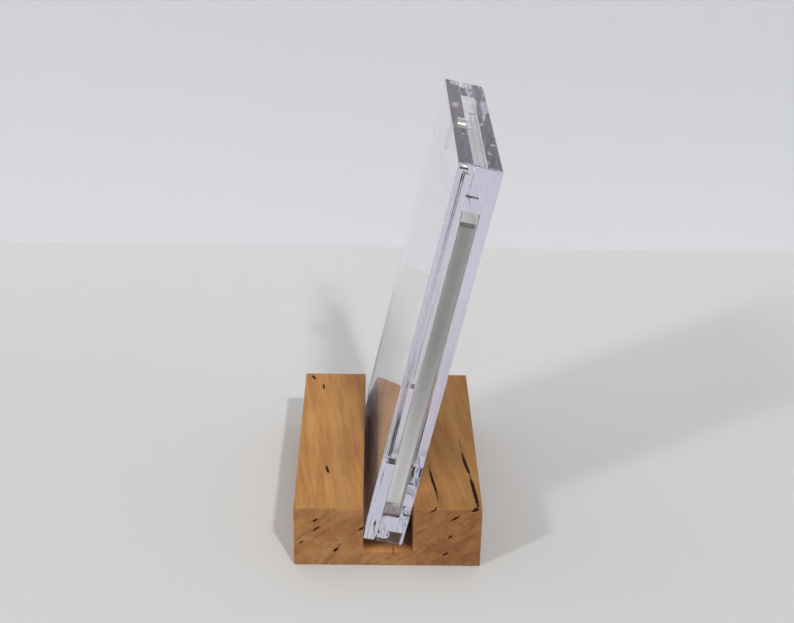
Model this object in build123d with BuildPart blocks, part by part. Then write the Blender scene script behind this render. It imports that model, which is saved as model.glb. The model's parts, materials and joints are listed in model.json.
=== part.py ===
from build123d import *
import math
import os

# A clear two-part display case that leans back in the slot of a hardwood block.
# Millimetres, +Z up. The origin is the middle of the block's underside.
# X runs across the slot, Y along it, and the case leans towards +X.

# ---- Hardwood block ----
block_width = 57.2      # across the slot
block_length = 89.0     # along the slot
block_height = 20.5
block_break = 0.25      # chamfer on the block's outer edges
slot_depth = 15.7
slot_offset = 0.2       # of the slot's middle from the block's, towards +X
slot_gap = 0.05         # between the case and the slot, at each place where it rests
slot_arris = 0.5        # round on the slot's two top edges
lean_angle = 11.75      # of the case from upright, degrees

# ---- Case, both halves ----
case_shift = 1.9        # how far the case stands behind the middle of the slot
corner_radius = 1.0     # of the outline, seen from the front
edge_round = 0.45       # round along the front and back faces' outer edges
cover_thickness = 4.2
back_wall = 2.7         # acrylic behind the well
side_wall = 4.6         # acrylic beside the well
top_wall = 13.8         # acrylic above the well, which holds the latch
well_floor = 7.8        # acrylic below the well
seam_gap = 0.08         # air between the two halves

# ---- Rails of the shell and the cover's flanges over them ----
rail_width = 3.4
rail_bottom = 30.5      # height of the rails' lower ends
rail_top_margin = 2.8   # from the rails' upper ends to the top of the case
flange_thickness = 1.8  # of the cover, in front of the rails
rail_clearance = 0.15   # beside and beyond each rail
rail_front_gap = 0.3    # between a rail and the flange in front of it
relief_height = 2.6     # square relief in the cover, below each rail's lower end
relief_depth = 0.5      # by which it is cut deeper than the rail's rebate

# ---- Hook tabs at the bottom, on which the cover swings ----
tab_width = 12.0
tab_spacing = 68.0      # between the middles of the two tabs
barrel_radius = 1.6
barrel_height = 1.9     # of the barrel's axis above the bottom of the case
barrel_setback = 2.5    # of the barrel's axis behind the cover
neck_thickness = 1.6
neck_drop = 0.6         # of the neck's middle below the barrel's axis
hook_clearance = 0.08   # round the barrel
tab_side_gap = 0.3      # beside each tab
throat_gap = 0.2        # above the neck, under the lip of the socket
socket_wall = 0.8       # acrylic behind the socket
heel_height = 2.8       # chamfer on the cover's lower back edge, which lets it swing
heel_depth = 0.8
toe_height = 6.5        # bevel on its lower front edge, which leads it into the slot
toe_depth = 0.5

# ---- Magnet and keeper of the latch ----
latch_drop = 6.0        # from the top of the case to the discs' common axis
magnet_radius = 4.5
magnet_thickness = 2.2
keeper_radius = 3.2
keeper_thickness = 1.0
glue_gap = 0.05         # round and under a disc in its pocket

# ---- Finger scoop ----
scoop_width = 17.0
scoop_height = 2.4
scoop_depth = 1.4
scoop_corner = 1.2

# ---- Rigid sleeve in the well ----
sleeve_corner = 2.0
sleeve_wall = 0.3       # of the front and back sheets
sleeve_seal = 3.3       # solid strip along the sleeve's bottom
sleeve_rail = 2.6       # solid strip along each side
sleeve_mouth = 3.7      # the two sheets stand this far above the card and the rails
well_headroom = 1.2     # above the sleeve
well_side_gap = 0.3     # beside the sleeve
well_corner = 0.8
cover_play = 0.5        # between the cover and the front of the sleeve
seat_gap = 0.1          # between a piece and what it rests on

# ---- Card in its film, inside the sleeve ----
card_width = 70.4
card_length = 94.5
card_thickness = 4.4
card_corner = 0.8
card_side_gap = 0.3     # beside the card, in the sleeve's pocket
card_face_gap = 0.1     # in front of and behind the card

# ---- Sizes that follow ----
pocket_width = card_width + 2 * card_side_gap
pocket_thickness = card_thickness + 2 * card_face_gap
sleeve_width = pocket_width + 2 * sleeve_rail
sleeve_length = sleeve_seal + seat_gap + card_length + sleeve_mouth
sleeve_thickness = pocket_thickness + 2 * sleeve_wall
well_width = sleeve_width + 2 * well_side_gap
well_length = sleeve_length + seat_gap + well_headroom
shell_front = cover_thickness + seam_gap
sleeve_front = cover_thickness + cover_play
well_back = sleeve_front + sleeve_thickness + seat_gap
case_width = well_width + 2 * side_wall
case_length = well_floor + well_length + top_wall
case_thickness = well_back + back_wall
rail_length = case_length - rail_bottom - rail_top_margin
sleeve_bottom = well_floor + seat_gap
pocket_floor = sleeve_bottom + sleeve_seal
barrel_depth = cover_thickness + barrel_setback
latch_height = case_length - latch_drop

# ---- Where the case rests ----
# Its rounded lower back edge stands on the slot's floor, the foot of the bevel on its
# front is against one wall and its back lies on the other wall's rounded top edge.
# These three contacts, each with the slot gap, set the slot's width for the lean.
lean = math.radians(lean_angle)
sin_lean = math.sin(lean)
cos_lean = math.cos(lean)
slot_floor = block_height - slot_depth
back_reach = case_thickness + slot_arris + slot_gap
toe_reach = toe_depth * cos_lean
foot_drop = edge_round * (1 - cos_lean) + (case_thickness - edge_round) * sin_lean
seat_drop = slot_depth - slot_arris - slot_gap - foot_drop
slot_width = (back_reach + seat_drop * sin_lean) / cos_lean - slot_arris - toe_reach + slot_gap
case_x = slot_offset - slot_width / 2 + slot_gap - toe_reach
case_z = slot_floor + slot_gap + foot_drop

# The case's own frame: x along its width, y up its length, z from its front to its
# back. The section plane cuts across the width: x up the case, y from front to back.
case_origin = Vector(case_x, case_shift, case_z)
case_up = Vector(sin_lean, 0, cos_lean)
case_rearward = Vector(cos_lean, 0, -sin_lean)
case_plane = Plane(origin=case_origin, x_dir=(0, 1, 0), z_dir=case_rearward)
section_plane = Plane(origin=case_origin, x_dir=case_up, z_dir=(0, 1, 0))
depth_axis = Axis(case_origin, case_rearward)
tab_planes = [section_plane.offset(side * tab_spacing / 2) for side in (-1, 1)]

os.makedirs("parts", exist_ok=True)

# ---- Stand block: a straight slot runs through along the grain ----
with BuildPart() as stand_block:
    with BuildSketch(Plane.XY):
        Rectangle(block_width, block_length)
    extrude(amount=block_height)
    outer_edges = stand_block.edges()
    chamfer(outer_edges, block_break)
    with BuildSketch(Plane.XY.offset(slot_floor)):
        with Locations((slot_offset, 0)):
            Rectangle(slot_width, block_length)
    extrude(amount=slot_depth, mode=Mode.SUBTRACT)
    top_faces = stand_block.faces().filter_by(Plane.XY).sort_by(Axis.Z)[-2:]
    arrises = top_faces.edges().filter_by(Axis.Y).sort_by(Axis.X)[1:3]
    fillet(arrises, slot_arris)
stand_block.part.label = "stand_block"
export_step(stand_block.part, "parts/stand_block.step")

# ---- Rear shell: well, side rails, hook sockets, finger scoop and keeper pocket ----
with BuildPart() as rear_shell:
    with BuildSketch(case_plane.offset(shell_front)):
        with Locations((0, case_length / 2)):
            RectangleRounded(case_width, case_length, corner_radius)
    extrude(amount=case_thickness - shell_front)
    back_edges = rear_shell.faces().sort_by(depth_axis)[-1].edges()
    fillet(back_edges, edge_round)

    # Rails along both sides stand forward, into the cover's rebates
    rail_middle = (case_width - rail_width) / 2
    with BuildSketch(case_plane.offset(flange_thickness + rail_front_gap)):
        with Locations(
            (-rail_middle, rail_bottom + rail_length / 2),
            (rail_middle, rail_bottom + rail_length / 2),
        ):
            Rectangle(rail_width, rail_length)
    extrude(amount=shell_front - flange_thickness - rail_front_gap)

    with BuildSketch(case_plane.offset(shell_front)):
        with Locations((0, well_floor + well_length / 2)):
            RectangleRounded(well_width, well_length, well_corner)
    extrude(amount=well_back - shell_front, mode=Mode.SUBTRACT)

    # Each socket is open below and in front, and its lip holds the barrel back
    with BuildSketch(*tab_planes):
        with Locations((barrel_height, barrel_depth)):
            Circle(barrel_radius + hook_clearance)
            Rectangle(
                barrel_height,
                2 * (barrel_radius + hook_clearance),
                align=(Align.MAX, Align.CENTER),
            )
        with Locations((0, shell_front)):
            Rectangle(
                barrel_height - neck_drop + neck_thickness / 2 + throat_gap,
                barrel_depth - shell_front,
                align=(Align.MIN, Align.MIN),
            )
        with Locations((0, barrel_depth)):
            Rectangle(
                barrel_height + barrel_radius + hook_clearance,
                case_thickness - socket_wall - barrel_depth,
                align=(Align.MIN, Align.MIN),
            )
    extrude(amount=tab_width / 2 + tab_side_gap, both=True, mode=Mode.SUBTRACT)

    with BuildSketch(case_plane.offset(shell_front)):
        with Locations((0, case_length)):
            RectangleRounded(scoop_width, 2 * scoop_height, scoop_corner)
    extrude(amount=scoop_depth, mode=Mode.SUBTRACT)

    with BuildSketch(case_plane.offset(shell_front)):
        with Locations((0, latch_height)):
            Circle(keeper_radius + glue_gap)
    extrude(amount=keeper_thickness + glue_gap, mode=Mode.SUBTRACT)
rear_shell.part.label = "rear_shell"
export_step(rear_shell.part, "parts/rear_shell.step")

# ---- Front cover: rebated sides, magnet pocket, heel and hook tabs ----
with BuildPart() as front_cover:
    with BuildSketch(case_plane):
        with Locations((0, case_length / 2)):
            RectangleRounded(case_width, case_length, corner_radius)
    extrude(amount=cover_thickness)
    front_edges = front_cover.faces().sort_by(depth_axis)[0].edges()
    fillet(front_edges, edge_round)

    rebate_width = rail_width + rail_clearance
    rebate_middle = (case_width - rebate_width) / 2
    with BuildSketch(case_plane.offset(flange_thickness)):
        with Locations(
            (-rebate_middle, rail_bottom + rail_length / 2),
            (rebate_middle, rail_bottom + rail_length / 2),
        ):
            Rectangle(rebate_width, rail_length + 2 * rail_clearance)
    extrude(amount=cover_thickness - flange_thickness, mode=Mode.SUBTRACT)
    with BuildSketch(case_plane.offset(flange_thickness - relief_depth)):
        with Locations(
            (-rebate_middle, rail_bottom - relief_height / 2),
            (rebate_middle, rail_bottom - relief_height / 2),
        ):
            Rectangle(rebate_width, relief_height)
    extrude(amount=cover_thickness - flange_thickness + relief_depth, mode=Mode.SUBTRACT)

    with BuildSketch(case_plane.offset(cover_thickness - magnet_thickness - 2 * glue_gap)):
        with Locations((0, latch_height)):
            Circle(magnet_radius + glue_gap)
    extrude(amount=magnet_thickness + 2 * glue_gap, mode=Mode.SUBTRACT)

    with BuildSketch(section_plane):
        with BuildLine():
            Polyline(
                (0, cover_thickness - heel_depth),
                (heel_height, cover_thickness),
                (0, cover_thickness),
                close=True,
            )
        make_face()
        with BuildLine():
            Polyline((0, 0), (toe_height, 0), (0, toe_depth), close=True)
        make_face()
    extrude(amount=case_width / 2, both=True, mode=Mode.SUBTRACT)

    neck_length = barrel_depth - flange_thickness
    with BuildSketch(*tab_planes):
        with Locations((barrel_height, barrel_depth)):
            Circle(barrel_radius)
        with Locations((barrel_height - neck_drop, flange_thickness + neck_length / 2)):
            Rectangle(neck_thickness, neck_length)
    extrude(amount=tab_width / 2, both=True)
front_cover.part.label = "front_cover"
export_step(front_cover.part, "parts/front_cover.step")

# ---- Cover magnet: a plated disc flush with the cover's inner face ----
with BuildPart() as cover_magnet:
    with BuildSketch(case_plane.offset(cover_thickness - magnet_thickness - glue_gap)):
        with Locations((0, latch_height)):
            Circle(magnet_radius)
    extrude(amount=magnet_thickness)
cover_magnet.part.label = "cover_magnet"
export_step(cover_magnet.part, "parts/cover_magnet.step")

# ---- Shell keeper: the thin steel disc that the magnet pulls on ----
with BuildPart() as shell_keeper:
    with BuildSketch(case_plane.offset(shell_front)):
        with Locations((0, latch_height)):
            Circle(keeper_radius)
    extrude(amount=keeper_thickness)
shell_keeper.part.label = "shell_keeper"
export_step(shell_keeper.part, "parts/shell_keeper.step")

# ---- Card sleeve: two clear sheets joined by side rails and a bottom seal ----
with BuildPart() as card_sleeve:
    with BuildSketch(case_plane.offset(sleeve_front)):
        with Locations((0, sleeve_bottom + sleeve_length / 2)):
            RectangleRounded(sleeve_width, sleeve_length, sleeve_corner)
    extrude(amount=sleeve_thickness)
    with BuildSketch(case_plane.offset(sleeve_front + sleeve_wall)):
        with Locations((0, pocket_floor)):
            Rectangle(
                pocket_width,
                sleeve_length - sleeve_seal,
                align=(Align.CENTER, Align.MIN),
            )
        with Locations((0, sleeve_bottom + sleeve_length - sleeve_mouth)):
            Rectangle(sleeve_width, sleeve_mouth, align=(Align.CENTER, Align.MIN))
    extrude(amount=pocket_thickness, mode=Mode.SUBTRACT)
card_sleeve.part.label = "card_sleeve"
export_step(card_sleeve.part, "parts/card_sleeve.step")

# ---- Display card: a thick card, bare on both faces ----
with BuildPart() as display_card:
    with BuildSketch(case_plane.offset(sleeve_front + sleeve_wall + card_face_gap)):
        with Locations((0, pocket_floor + seat_gap + card_length / 2)):
            RectangleRounded(card_width, card_length, card_corner)
    extrude(amount=card_thickness)
display_card.part.label = "display_card"
export_step(display_card.part, "parts/display_card.step")
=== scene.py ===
import json
import math
import bpy
import numpy as np
from mathutils import Matrix, Vector


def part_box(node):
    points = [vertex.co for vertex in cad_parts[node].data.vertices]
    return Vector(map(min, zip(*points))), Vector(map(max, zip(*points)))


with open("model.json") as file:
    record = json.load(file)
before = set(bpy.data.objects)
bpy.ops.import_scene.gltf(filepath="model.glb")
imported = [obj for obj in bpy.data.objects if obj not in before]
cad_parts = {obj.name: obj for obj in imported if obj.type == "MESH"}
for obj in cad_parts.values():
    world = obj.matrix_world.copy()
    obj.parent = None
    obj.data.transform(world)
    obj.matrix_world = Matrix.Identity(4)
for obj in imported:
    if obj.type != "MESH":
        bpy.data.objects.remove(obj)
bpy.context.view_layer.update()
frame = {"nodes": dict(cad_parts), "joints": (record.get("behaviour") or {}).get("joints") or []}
nodes = frame["nodes"]
print("frame loaded:", sorted(nodes))


def newMaterial(name):
    material = bpy.data.materials.new(name)
    material.use_nodes = True
    material.node_tree.nodes.clear()
    return material, material.node_tree


def addNode(tree, kind, settings=None, **sockets):
    # a socket given as another node's output is linked, anything else is set on it
    node = tree.nodes.new(kind)
    for key, value in (settings or {}).items():
        setattr(node, key, value)
    for key, value in sockets.items():
        byNumber = key[0] == "i" and key[1:].isdigit()  # i0 is the first socket, i1 the second
        socket = node.inputs[int(key[1:]) if byNumber else key.replace("_", " ")]
        if isinstance(value, bpy.types.NodeSocket):
            tree.links.new(value, socket)
        else:
            socket.default_value = value
    return node


def calc(tree, operation, a, b=0.0):
    return addNode(tree, "ShaderNodeMath", {"operation": operation}, i0=a, i1=b).outputs[0]


def product(tree, whole, *others):
    for other in others:
        whole = calc(tree, "MULTIPLY", whole, other)
    return whole


def mixColour(tree, factor, a, b, blendType="MIX"):
    return addNode(tree, "ShaderNodeMix", {"data_type": "RGBA", "blend_type": blendType},
                   i0=factor, i6=a, i7=b).outputs[2]


def shade(tree, factor, tone, tint):
    # the tone multiplied by the tint, as far as the factor says
    return mixColour(tree, factor, tone, tint, "MULTIPLY")


def mixShaders(tree, factor, a, b):
    return addNode(tree, "ShaderNodeMixShader", None, i0=factor, i1=a, i2=b).outputs[0]


def remap(tree, value, low, high, toLow=0.0, toHigh=1.0):
    # a soft step: toLow at low, toHigh at high, and a smooth S between them
    return addNode(tree, "ShaderNodeMapRange", {"interpolation_type": "SMOOTHSTEP"},
                   i0=value, i1=low, i2=high, i3=toLow, i4=toHigh).outputs[0]


def ownSpace(tree, scale=(1, 1, 1), location=(0, 0, 0), rotation=(0, 0, 0)):
    # Object coordinates measured from location, turned back by rotation and divided by scale
    coordinates = addNode(tree, "ShaderNodeTexCoord").outputs["Object"]
    return addNode(tree, "ShaderNodeMapping", {"vector_type": "TEXTURE"}, Vector=coordinates,
                   Scale=scale, Location=location, Rotation=rotation).outputs[0]


def parts(tree, vector):
    split = addNode(tree, "ShaderNodeSeparateXYZ", None, Vector=vector)
    return split.outputs["X"], split.outputs["Y"], split.outputs["Z"]


def facing(tree):
    return parts(tree, addNode(tree, "ShaderNodeTexCoord").outputs["Normal"])


def joined(tree, **axes):
    return addNode(tree, "ShaderNodeCombineXYZ", None, **axes).outputs[0]


def noise(tree, vector, scale=1.0, detail=4.0, roughness=0.5, distortion=0.0):
    return addNode(tree, "ShaderNodeTexNoise", None, Vector=vector, Scale=scale, Detail=detail,
                   Roughness=roughness, Distortion=distortion).outputs["Fac"]


def bumpOf(tree, height, strength, distance):
    return addNode(tree, "ShaderNodeBump", None, Strength=strength, Distance=distance,
                   Height=height).outputs[0]


def finishOf(tree, shader, volume=None):
    output = addNode(tree, "ShaderNodeOutputMaterial")
    tree.links.new(shader, output.inputs["Surface"])
    if volume is not None:
        tree.links.new(volume, output.inputs["Volume"])


def dress(nodeName, material):
    slots = nodes[nodeName].data.materials
    slots.clear()
    slots.append(material)


cameraValues = {
    "place": (-0.0067, -0.4115, 0.2544),
    "yaw": math.radians(1.26),
    "pitch": math.radians(24.64),
    "roll": math.radians(-1.26),
    "lens": 64.79,
    "sensor": 36,
}


def makeCamera(values):
    # the view axis comes from yaw and pitch, and the picture is then turned by roll about it
    yaw, pitch, roll = values["yaw"], values["pitch"], values["roll"]
    forward = Vector((math.sin(yaw) * math.cos(pitch), math.cos(yaw) * math.cos(pitch),
                      -math.sin(pitch)))
    level = Vector((math.cos(yaw), -math.sin(yaw), 0))
    down = forward.cross(level)
    right = math.cos(roll) * level + math.sin(roll) * down
    up = math.sin(roll) * level - math.cos(roll) * down
    data = bpy.data.cameras.new("camera")
    data.lens = values["lens"]
    data.sensor_width = values["sensor"]
    camera = bpy.data.objects.new("camera", data)
    turn = Matrix((right, up, -forward)).transposed().to_4x4()
    camera.matrix_world = Matrix.Translation(values["place"]) @ turn
    bpy.context.scene.collection.objects.link(camera)
    bpy.context.scene.camera = camera


makeCamera(cameraValues)
print("camera made")


roomValues = {
    "wallY": 0.2165,
    "reach": 3.0,
    # painted light and shade: the floor darker at the front and lighter far off, the wall lighter low
    # down and darker high up
    "floorShadedNear": (0.612, 0.606, 0.590, 1),
    "floorLitFar": (0.662, 0.657, 0.650, 1),
    "floorFade": (0.02, 0.20),     # along Y
    "wallLitLow": (0.684, 0.695, 0.722, 1),
    "wallShadedHigh": (0.608, 0.619, 0.648, 1),
    "wallFade": (-0.01, 0.13),     # up Z
    "roughness": 0.75,
    "worldColour": (0.80, 0.805, 0.82, 1),
    "worldStrength": 0.60,
}
lampValues = {
    "left_softbox": {"towards": (-0.646, -0.518, 0.559), "distance": 2.6, "size": 0.25, "power": 20.5},
    "right_softbox": {"towards": (0.26, -0.66, 0.706), "distance": 2.8, "size": 0.14, "power": 32.0},
}


def makeSheet(name, corner, sideA, sideB, material):
    # a flat sheet: its corner plus the shares a and b of its two sides, on a grid of two by two
    a, b = np.meshgrid((0.0, 1.0), (0.0, 1.0))
    points = np.array(corner) + a[..., None] * np.array(sideA) + b[..., None] * np.array(sideB)
    mesh = bpy.data.meshes.new(name)
    mesh.from_pydata(points.reshape(-1, 3).tolist(), [], [(0, 1, 3, 2)])
    mesh.materials.append(material)
    sheet = bpy.data.objects.new(name, mesh)
    bpy.context.scene.collection.objects.link(sheet)


def makeFalloffPaint(name, roughness, axis, fade, low, high, oneSided=False):
    # painted light and shade: paint that goes softly from one tone to another along one axis, standing
    # in for the fall of the lamps' light
    material, tree = newMaterial(name)
    along = parts(tree, ownSpace(tree))[axis]
    tone = mixColour(tree, remap(tree, along, *fade), low, high)
    shader = addNode(tree, "ShaderNodeBsdfPrincipled", None, Base_Color=tone,
                     Roughness=roughness).outputs[0]
    if oneSided:  # seen from behind, the wall isn't there
        clear = addNode(tree, "ShaderNodeBsdfTransparent").outputs[0]
        behind = addNode(tree, "ShaderNodeNewGeometry").outputs["Backfacing"]
        shader = mixShaders(tree, behind, shader, clear)
    finishOf(tree, shader)
    return material


def makeRoom(values):
    r, y = values["reach"], values["wallY"]
    floorFalloffPaint = makeFalloffPaint("floorFalloffPaint", values["roughness"], 1, values["floorFade"],
                           values["floorShadedNear"], values["floorLitFar"])
    wallFalloffPaint = makeFalloffPaint("wallFalloffPaint", values["roughness"], 2, values["wallFade"],
                          values["wallLitLow"], values["wallShadedHigh"], True)
    makeSheet("floor", (-r, -r, 0), (2 * r, 0, 0), (0, r + y, 0), floorFalloffPaint)
    makeSheet("floor_beyond", (-r, y, 0), (2 * r, 0, 0), (0, r - y, 0), floorFalloffPaint)
    makeSheet("wall", (-r, y, 0), (2 * r, 0, 0), (0, 0, r), wallFalloffPaint)
    world = bpy.data.worlds.new("studio")
    world.use_nodes = True
    background = world.node_tree.nodes["Background"]
    background.inputs["Color"].default_value = values["worldColour"]
    background.inputs["Strength"].default_value = values["worldStrength"]
    bpy.context.scene.world = world


def makeLamps(table):
    for name, values in table.items():
        towards = Vector(values["towards"]).normalized()
        data = bpy.data.lights.new(name, "AREA")
        data.shape = "DISK"
        data.size = values["size"]
        data.energy = values["power"]
        lamp = bpy.data.objects.new(name, data)
        lamp.location = towards * values["distance"]
        lamp.rotation_euler = towards.to_track_quat("Z", "Y").to_euler()
        bpy.context.scene.collection.objects.link(lamp)


makeRoom(roomValues)
makeLamps(lampValues)
bpy.context.scene.view_settings.view_transform = "Standard"
print("room and lamps made")


woodValues = {
    "light": (0.510, 0.262, 0.084, 1),
    "middle": (0.396, 0.180, 0.060, 1),
    "dark": (0.17, 0.066, 0.026, 1),
    "endShade": (0.775, 0.775, 0.94, 1),  # end grain soaks up oil and goes darker
    "squarely": (0.5, 0.9),               # how far a face looks along Y or Z to count
    # tints across the block: where along X each sets in and where it is full
    "outerSide": {"tint": (1.09, 1.09, 1.06, 1), "across": (-0.010, -0.026)},  # sapwood
    # painted shade: the top darker beside the slot, where the case stands over it
    "shadeBesideSlot": {"tint": (0.92, 0.90, 0.92, 1), "across": (0.019, 0.010)},
    # darker heartwood towards +X, with painted shade where the case's shadow falls on the top; the
    # shift brings it nearer the slot off the end grain
    "heartwoodAndShade": {"tint": (0.845, 0.84, 0.85, 1), "across": (0.006, 0.024), "topShadeShift": 0.010},
    "drift": 0.012,                       # how far the tints' borders wander
    # rings round the pith, which lies at this x and z
    "pith": (0.112, -0.150),
    "ringWidth": 0.0043,
    "ringWander": 0.004,
    "ringSharpness": 4.0,
    # noises drawn out along the grain, which runs a little askew: stretch, scale, detail, roughness
    "grainTurn": 0.12,
    "noises": {
        "wander": (8, 60, 2, 0.5),
        "figure": (9, 280, 3, 0.5),
        "cloud": (2.2, 60, 3, 0.5),
        "streak": (14, 800, 3, 0.55),
        "fibre": (28, 1500, 3, 0.6),
        "pores": (20, 2600, 2, 0.5),
    },
    "flecks": {"across": 640, "along": 18, "round": 26, "detail": 4, "roughness": 0.62, "bend": 0.4},
    "speckle": (1900, 2, 0.6),            # scale, detail, roughness
    "mottle": (0.36, 0.64),               # from the light tone to the middle one
    # the noise at which each pattern sets in and is full
    "onsets": {"flecks": (0.44, 0.70), "streak": (0.46, 0.72), "fibre": (0.45, 0.72),
               "speckle": (0.50, 0.70), "pores": (0.64, 0.76)},
    # how dark each pattern is along the grain, and on the ends
    "depths": {"ring": (0.10, 0.14), "flecks": (0.08, 0.50), "streak": (0.24, 0.12),
               "fibre": (0.20, 0.10), "speckle": (0.09, 0.30), "pores": (0.16, 0.24)},
    # painted shade inside the slot, darker on its floor than its walls, and painted light at its open
    # near end
    "slot": {"halfWidth": 0.0083, "top": 0.0200, "floor": 0.0046, "nearEnd": (-0.0440, -0.0385),
             "sideFade": 0.0002, "topFade": 0.0003, "floorFade": 0.0001},
    "slotWallShade": (0.62, 0.58, 0.80, 1),
    "slotFloorShade": (0.20, 0.17, 0.28, 1),
    "slotEndLight": (1.27, 1.18, 1.14, 1),
    "oil": {"roughness": (0.44, 0.60), "over": (0.3, 0.8), "specular": 0.08, "ior": 1.45,
            "bump": 0.25, "height": 0.00010},
    "gum": (0.020, 0.0008, 0.0002, 1),
    "gumEdge": (1.15, 0.65),
    "gumBend": {"scale": 90, "detail": 1, "by": 0.0010},
    "gumWobble": {"scale": 700, "detail": 2, "by": 0.7},
    # gum: centre, half sizes along X, Y and Z, turn, strength
    "gumMarks": [
        ((0.0249, -0.0180, 0.0205), (0.00058, 0.0088, 0.00120), (0, 0, 0.130), 1.0),
        ((0.0266, -0.0343, 0.0205), (0.00067, 0.0110, 0.00120), (0, 0, 0.079), 1.0),
        ((0.0238, -0.0050, 0.0205), (0.00022, 0.0056, 0.00100), (0, 0, 0.02), 0.6),
        ((0.0142, -0.0290, 0.0205), (0.00047, 0.0106, 0.00100), (0, 0, 0.100), 1.0),
        ((-0.0190, -0.0219, 0.0205), (0.00049, 0.0028, 0.00100), (0, 0, 0.179), 1.0),
        ((-0.0222, 0.0344, 0.0205), (0.00038, 0.0026, 0.00100), (0, 0, 0.108), 1.0),
        ((-0.0259, 0.0412, 0.0205), (0.00052, 0.0020, 0.00100), (0, 0, 0.335), 1.0),
        ((-0.0222, -0.0445, 0.0160), (0.00100, 0.0020, 0.00042), (0, -0.64, 0), 1.0),
        ((-0.0219, -0.0445, 0.0130), (0.00140, 0.0020, 0.00038), (0, -0.69, 0), 0.9),
        ((-0.0263, -0.0445, 0.0083), (0.00100, 0.0015, 0.00031), (0, -0.67, 0), 0.9),
        ((-0.0158, -0.0445, 0.0055), (0.00110, 0.0015, 0.00048), (0, -0.74, 0), 1.0),
        ((-0.0146, -0.0445, 0.0073), (0.00140, 0.0015, 0.00017), (0, -0.85, 0), 0.5),
        ((-0.0079, -0.0445, 0.0134), (0.00120, 0.0020, 0.00038), (0, -0.70, 0), 1.0),
        ((0.0139, -0.0445, 0.0200), (0.00120, 0.0020, 0.00038), (0, -0.55, 0), 0.9),
        ((0.0263, -0.0445, 0.0201), (0.00140, 0.0020, 0.00046), (0, -0.30, 0), 1.0),
        ((0.0206, -0.0445, 0.0174), (0.00150, 0.0020, 0.00036), (0, -0.58, 0), 1.0),
        ((0.0192, -0.0445, 0.0107), (0.00100, 0.0015, 0.00040), (0, -0.55, 0), 0.9),
        ((0.0178, -0.0445, 0.0044), (0.00120, 0.0015, 0.00040), (0, -0.50, 0), 0.9),
        ((0.0137, -0.0445, 0.0073), (0.00220, 0.0015, 0.00017), (0, -0.53, 0), 0.4),
        ((0.0020, -0.0430, 0.0048), (0.00020, 0.0032, 0.00080), (0, 0, 0.02), 0.9),
    ],
}


def centredNoise(tree, space, values):
    # noise about zero, times its reach
    grain = calc(tree, "SUBTRACT", noise(tree, space, values["scale"], values["detail"]), 0.5)
    return calc(tree, "MULTIPLY", grain, values["by"])


def gumMask(tree, values):
    # one where any mark's stretched distance from its own centre is under one
    space = ownSpace(tree)
    bend = centredNoise(tree, space, values["gumBend"])
    bent = addNode(tree, "ShaderNodeVectorMath", {"operation": "ADD"}, i0=space,
                   i1=joined(tree, X=bend, Z=bend)).outputs[0]
    wobble = centredNoise(tree, space, values["gumWobble"])
    whole = None
    for centre, halfSizes, turn, strength in values["gumMarks"]:
        local = addNode(tree, "ShaderNodeMapping", {"vector_type": "TEXTURE"}, Vector=bent,
                        Scale=halfSizes, Location=centre, Rotation=turn).outputs[0]
        distance = addNode(tree, "ShaderNodeVectorMath", {"operation": "LENGTH"},
                           i0=local).outputs["Value"]
        mark = remap(tree, calc(tree, "ADD", distance, wobble), *values["gumEdge"], 0.0, strength)
        whole = mark if whole is None else calc(tree, "MAXIMUM", whole, mark)
    return whole


def grainNoise(tree, turn, stretch, scale, detail, roughness):
    # noise drawn out along the grain, which runs at a small angle to Y
    return noise(tree, ownSpace(tree, (1, stretch, 1), rotation=(0, 0, turn)), scale, detail, roughness)


def slotMasks(tree, x, y, z, sideGrain, slot):
    # where light and shade are painted in the slot, told by its width and its height: its lit near end,
    # and the shaded rest of it
    halfWidth = slot["halfWidth"]
    side = remap(tree, calc(tree, "ABSOLUTE", x), halfWidth + slot["sideFade"], halfWidth)
    below = remap(tree, z, slot["top"] + slot["topFade"], slot["top"])
    above = remap(tree, z, slot["floor"], slot["floor"] + slot["floorFade"])
    inside = product(tree, side, below, above, sideGrain)
    intoSlotShade = remap(tree, y, *slot["nearEnd"])
    return product(tree, inside, calc(tree, "SUBTRACT", 1.0, intoSlotShade)), product(tree, inside, intoSlotShade)


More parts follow.
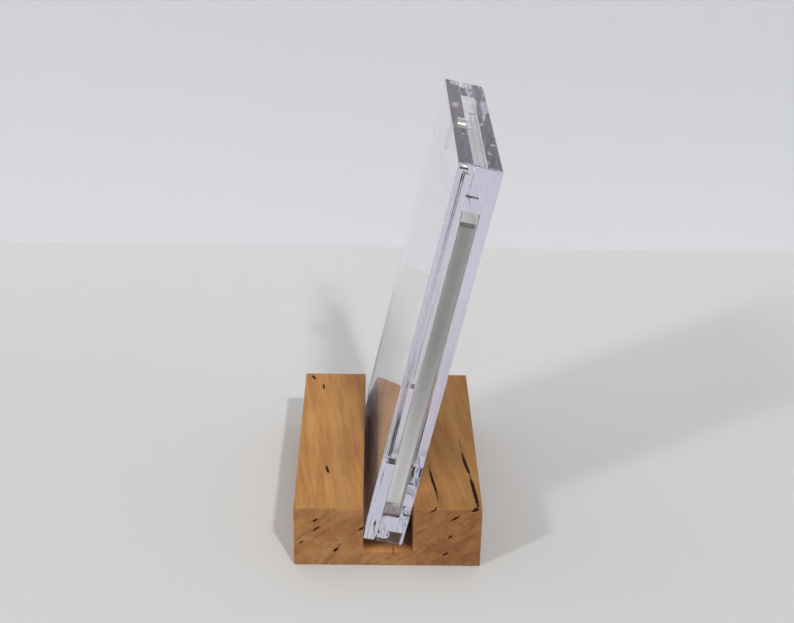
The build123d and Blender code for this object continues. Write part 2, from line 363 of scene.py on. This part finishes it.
def makeWood(values):
    material, tree = newMaterial("oiledHardwood")
    x, y, z = parts(tree, ownSpace(tree))
    grain = {name: grainNoise(tree, values["grainTurn"], *settings)
             for name, settings in values["noises"].items()}
    endGrain = remap(tree, calc(tree, "ABSOLUTE", facing(tree)[1]), *values["squarely"])

    def byEnd(alongGrain, onEnd):
        return remap(tree, endGrain, 0, 1, alongGrain, onEnd)

    # rings: distance from the pith, wandering slowly along the grain
    fromPithX = calc(tree, "SUBTRACT", x, values["pith"][0])
    fromPithZ = calc(tree, "SUBTRACT", z, values["pith"][1])
    squares = calc(tree, "ADD", product(tree, fromPithX, fromPithX),
                   product(tree, fromPithZ, fromPithZ))
    wander = product(tree, grain["wander"], values["ringWander"])
    radius = calc(tree, "ADD", calc(tree, "SQRT", squares), wander)
    around = calc(tree, "ARCTAN2", fromPithX, fromPithZ)
    turns = calc(tree, "FRACT", calc(tree, "DIVIDE", radius, values["ringWidth"]))
    # flecks follow the rings: fine across them, drawn out round the pith, long down the grain
    flecks = values["flecks"]
    polar = joined(tree, X=product(tree, radius, flecks["across"]),
                   Y=product(tree, y, flecks["along"]), Z=product(tree, around, flecks["round"]))
    grain["flecks"] = noise(tree, polar, 1.0, flecks["detail"], flecks["roughness"], flecks["bend"])
    grain["speckle"] = noise(tree, ownSpace(tree), *values["speckle"])
    patterns = {name: remap(tree, grain[name], *onset) for name, onset in values["onsets"].items()}
    patterns["ring"] = calc(tree, "POWER", turns, values["ringSharpness"])
    blend = calc(tree, "ADD", product(tree, grain["figure"], 0.5), product(tree, grain["cloud"], 0.5))
    tone = mixColour(tree, remap(tree, blend, *values["mottle"]), values["light"], values["middle"])
    for name, depths in values["depths"].items():
        tone = mixColour(tree, product(tree, patterns[name], byEnd(*depths)), tone, values["dark"])
    # end grain, and the tints across the block: sapwood, painted shade beside the slot, and heartwood
    # with painted shade of the case on the top
    tone = shade(tree, endGrain, tone, values["endShade"])
    shift = product(tree, calc(tree, "SUBTRACT", grain["cloud"], 0.5), values["drift"])
    drift = calc(tree, "ADD", x, shift)
    outer, beside, heartwoodAndShade = values["outerSide"], values["shadeBesideSlot"], values["heartwoodAndShade"]
    tone = shade(tree, remap(tree, drift, *outer["across"]), tone, outer["tint"])
    # painted shade on the top beside the slot
    slotShadeMask = remap(tree, calc(tree, "ABSOLUTE", x), *beside["across"])
    tone = shade(tree, product(tree, slotShadeMask, byEnd(1.0, 0.0)), tone, beside["tint"])
    # heartwood, and painted shade of the case on the top
    heartAndShadeDrift = calc(tree, "ADD", drift, byEnd(heartwoodAndShade["topShadeShift"], 0.0))
    tone = shade(tree, remap(tree, heartAndShadeDrift, *heartwoodAndShade["across"]), tone, heartwoodAndShade["tint"])
    # painted light at the slot's open near end, painted shade deeper inside
    litSlotEnd, intoSlotShade = slotMasks(tree, x, y, z, calc(tree, "SUBTRACT", 1.0, endGrain), values["slot"])
    tone = shade(tree, litSlotEnd, tone, values["slotEndLight"])
    lying = remap(tree, facing(tree)[2], *values["squarely"])
    tone = shade(tree, intoSlotShade, tone, mixColour(tree, lying, values["slotWallShade"], values["slotFloorShade"]))
    tone = mixColour(tree, gumMask(tree, values), tone, values["gum"])
    oil = values["oil"]
    height = calc(tree, "ADD", product(tree, grain["fibre"], 0.5),
                  product(tree, patterns["pores"], -0.5))
    shader = addNode(tree, "ShaderNodeBsdfPrincipled", None, Base_Color=tone, IOR=oil["ior"],
                     Roughness=remap(tree, grain["fibre"], *oil["over"], *oil["roughness"]),
                     Normal=bumpOf(tree, height, oil["bump"], oil["height"]),
                     Specular_IOR_Level=oil["specular"]).outputs[0]
    finishOf(tree, shader)
    return material


dress("stand_block", makeWood(woodValues))
print("hardwood block dressed")


caseValues = {"foot": (-0.007852, 0.007354)}  # x and z of the case's lower front edge
acrylicValues = {
    "ior": 1.49,
    "roughness": 0.012,
    "density": 12.0,
    "tint": (0.79, 0.77, 0.89, 1),
    "shadow": (0.90, 0.895, 0.895, 1),
    "wave": {"across": 55, "drawnOut": 4, "height": 0.000012},
    "seamShade": {  # painted shade: a dark line along the parting line beside the rails, where the gap looks dark
        "depth": (0.00142, 0.00232),    # back from the case's front
        "inward": (0.0009, 0.0005),     # in from its sides: where it sets in and is full
        "colour": (0.004, 0.0035, 0.005, 1),
        "farSide": 0.12,                # it is faint on the side towards +Y
        "sideStep": (0.01, -0.01),
        "rampHeight": 0.125,
        # height up the case and strength there
        "strength": ((0.0300, 0.0), (0.0308, 1.0), (0.0430, 1.0), (0.0465, 0.30), (0.0560, 0.17),
                     (0.0750, 0.10), (0.0850, 0.20), (0.1000, 0.34), (0.1100, 0.60), (0.1188, 0.60),
                     (0.1200, 1.0), (0.1216, 1.0), (0.1218, 0.0)),
    },
}
sleeveValues = {
    "ior": 1.53,
    "roughness": 0.02,
    "density": 60.0,
    "tint": (0.80, 0.785, 0.775, 1),
    "shadow": (0.90, 0.90, 0.90, 1),
    "wave": {"across": 80, "drawnOut": 5, "height": 0.00003},
}


def caseLean():
    # the case slides up its own length, so the slide's axis gives its lean from upright
    axis = frame["joints"][0]["axis"]
    return math.atan2(axis[0], axis[2])


def seamShadeMask(tree, values):
    # one where shade is painted on the parting line, in the case's own frame: x back from its front
    # face, y along the slot from its middle, z up its length
    low, high = (Vector(c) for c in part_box("front_cover"))
    foot, halfWidth = caseValues["foot"], (high.y - low.y) / 2
    middle = (low.y + high.y) / 2
    space = ownSpace(tree, location=(foot[0], middle, foot[1]), rotation=(0, caseLean(), 0))
    depth, along, height = parts(tree, space)
    front, back = values["depth"]
    inGap = product(tree, calc(tree, "GREATER_THAN", depth, front),
                    calc(tree, "LESS_THAN", depth, back))
    setsIn, full = values["inward"]
    edge = remap(tree, calc(tree, "ABSOLUTE", along), halfWidth - setsIn, halfWidth - full)
    nearer = remap(tree, along, *values["sideStep"], values["farSide"], 1.0)
    perHeight = 1 / values["rampHeight"]
    ramp = addNode(tree, "ShaderNodeValToRGB", None, Fac=product(tree, height, perHeight))
    stops = ramp.color_ramp.elements  # a new ramp has two stops already
    for index, (place, strength) in enumerate(values["strength"]):
        stop = stops[index] if index < 2 else stops.new(place * perHeight)
        stop.position = place * perHeight
        stop.color = (strength, strength, strength, 1)
    return product(tree, inGap, edge, nearer, ramp.outputs["Color"])


def makeClear(name, values):
    material, tree = newMaterial(name)
    wave = values["wave"]
    swell = noise(tree, ownSpace(tree, (1, 1, wave["drawnOut"])), wave["across"], detail=2)
    shader = addNode(tree, "ShaderNodeBsdfPrincipled", None, Base_Color=(1, 1, 1, 1),
                     Roughness=values["roughness"], IOR=values["ior"], Transmission_Weight=1.0,
                     Normal=bumpOf(tree, swell, 1.0, wave["height"])).outputs[0]
    if "seamShade" in values:
        # painted shade: a dark diffuse mixed into the plastic along the parting line
        dark = addNode(tree, "ShaderNodeBsdfDiffuse", None, Color=values["seamShade"]["colour"]).outputs[0]
        shader = mixShaders(tree, seamShadeMask(tree, values["seamShade"]), shader, dark)
    # lamps shine through with a small loss, as through the real plastic
    passing = addNode(tree, "ShaderNodeBsdfTransparent", None, Color=values["shadow"]).outputs[0]
    shadowRay = addNode(tree, "ShaderNodeLightPath").outputs["Is Shadow Ray"]
    volume = addNode(tree, "ShaderNodeVolumeAbsorption", None, Color=values["tint"],
                     Density=values["density"]).outputs[0]
    finishOf(tree, mixShaders(tree, shadowRay, shader, passing), volume)
    return material


clearAcrylic = makeClear("clearAcrylic", acrylicValues)
for nodeName in ("rear_shell", "front_cover"):
    dress(nodeName, clearAcrylic)
dress("card_sleeve", makeClear("clearSleeve", sleeveValues))
print("clear mouldings dressed")


metalValues = {
    "cover_magnet": {"colour": (0.52, 0.47, 0.38, 1), "roughness": (0.23, 0.31)},
    "shell_keeper": {"colour": (0.60, 0.59, 0.57, 1), "roughness": (0.25, 0.33)},
}
platingValues = {"scale": 900, "detail": 2, "over": (0.3, 0.7), "bump": 0.05, "height": 0.00005}


def makePlating(name, values, plating):
    # thin plating: a fine grain that changes its gloss and barely lifts it
    material, tree = newMaterial(name)
    grain = noise(tree, ownSpace(tree), plating["scale"], plating["detail"])
    shader = addNode(tree, "ShaderNodeBsdfPrincipled", None, Base_Color=values["colour"], Metallic=1.0,
                     Roughness=remap(tree, grain, *plating["over"], *values["roughness"]),
                     Normal=bumpOf(tree, grain, plating["bump"], plating["height"])).outputs[0]
    finishOf(tree, shader)
    return material


for nodeName, values in metalValues.items():
    dress(nodeName, makePlating(nodeName + "Plating", values, platingValues))
print("magnet and keeper dressed")


cardValues = {
    "face": (0.72, 0.71, 0.69, 1),
    "coreLow": (0.465, 0.46, 0.46, 1),    # the bare edges, with painted shade: darker towards the top, lighter towards the foot
    "coreShadedHigh": (0.150, 0.146, 0.143, 1),
    "edgeLow": (0.57, 0.57, 0.57, 1),     # and beside the faces
    "edgeShadedHigh": (0.205, 0.20, 0.197, 1),
    "farEdge": (0.58, 0.575, 0.57, 1),    # the edge towards +Y, without the painted shade of the near edges
    "top": (0.36, 0.355, 0.35, 1),
    "rim": (0.004, 0.003, 0.003, 1),      # a dark band round the uppermost edge
    "rimHeight": 0.0011,
    "rimFade": 0.0001,
    "thickness": 0.0044,
    "border": (0.20, 0.34),               # of the thickness, from the core to the faces
    "fade": (-0.048, 0.014),              # where the painted shade sets in and is full, up the card
    "layer": {"thickness": 0.00035, "alongScale": 25, "detail": 3, "share": 0.22},
    "tooth": {"scale": 2500, "detail": 3, "share": 0.12, "bump": 0.2, "height": 0.00004},
    "roughness": 0.62,
    "squarely": {"faces": (0.7, 0.9), "farEdge": (0.5, 0.9)},  # how far a face looks that way to count
}


def makeCard(values):
    material, tree = newMaterial("cardBoard")
    lean, thickness, squarely = caseLean(), values["thickness"], values["squarely"]
    low, high = (Vector(c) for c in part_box("display_card"))
    halfHeight = ((high.z - low.z) - thickness * math.sin(lean)) / (2 * math.cos(lean))
    normalX, normalY, normalZ = facing(tree)
    across = calc(tree, "ADD", product(tree, normalX, math.cos(lean)),
                  product(tree, normalZ, -math.sin(lean)))
    upward = calc(tree, "ADD", product(tree, normalX, math.sin(lean)),
                  product(tree, normalZ, math.cos(lean)))
    # the card's own frame, turned by the lean: x through its thickness, z up its length
    depth, _, height = parts(tree, ownSpace(tree, location=(low + high) / 2, rotation=(0, lean, 0)))
    layer, tooth = values["layer"], values["tooth"]
    sheets = joined(tree, X=calc(tree, "DIVIDE", depth, layer["thickness"]),
                    Z=product(tree, height, layer["alongScale"]))
    layers = noise(tree, sheets, 1, layer["detail"])
    # painted shade: the bare edges darker towards the top of the card
    shadeRise = remap(tree, height, *values["fade"])
    core = mixColour(tree, shadeRise, values["coreLow"], values["coreShadedHigh"])
    edge = mixColour(tree, shadeRise, values["edgeLow"], values["edgeShadedHigh"])
    border = remap(tree, calc(tree, "ABSOLUTE", depth),
                   *(share * thickness for share in values["border"]))
    bare = mixColour(tree, border, core, edge)
    bare = mixColour(tree, product(tree, layers, layer["share"]), bare, values["coreShadedHigh"])
    bare = mixColour(tree, remap(tree, normalY, *squarely["farEdge"]), bare, values["farEdge"])
    rimStart = halfHeight - values["rimHeight"]
    rim = remap(tree, height, rimStart - values["rimFade"], rimStart + values["rimFade"])
    bare = mixColour(tree, rim, bare, values["rim"])
    teeth = noise(tree, ownSpace(tree), tooth["scale"], tooth["detail"])
    face = mixColour(tree, product(tree, teeth, tooth["share"]), values["face"], values["coreLow"])
    onFace = remap(tree, calc(tree, "ABSOLUTE", across), *squarely["faces"])
    onTop = remap(tree, upward, *squarely["faces"])
    colour = mixColour(tree, onTop, mixColour(tree, onFace, bare, face), values["top"])
    shader = addNode(tree, "ShaderNodeBsdfPrincipled", None, Base_Color=colour,
                     Roughness=values["roughness"],
                     Normal=bumpOf(tree, teeth, tooth["bump"], tooth["height"])).outputs[0]
    finishOf(tree, shader)
    return material


dress("display_card", makeCard(cardValues))
print("display card dressed")

# light goes to and fro many times in the clear plastic before it leaves
cycles = bpy.context.scene.cycles
cycles.max_bounces = 48
cycles.transmission_bounces = 32
cycles.glossy_bounces = 40
cycles.transparent_max_bounces = 32
print("light bounces set")
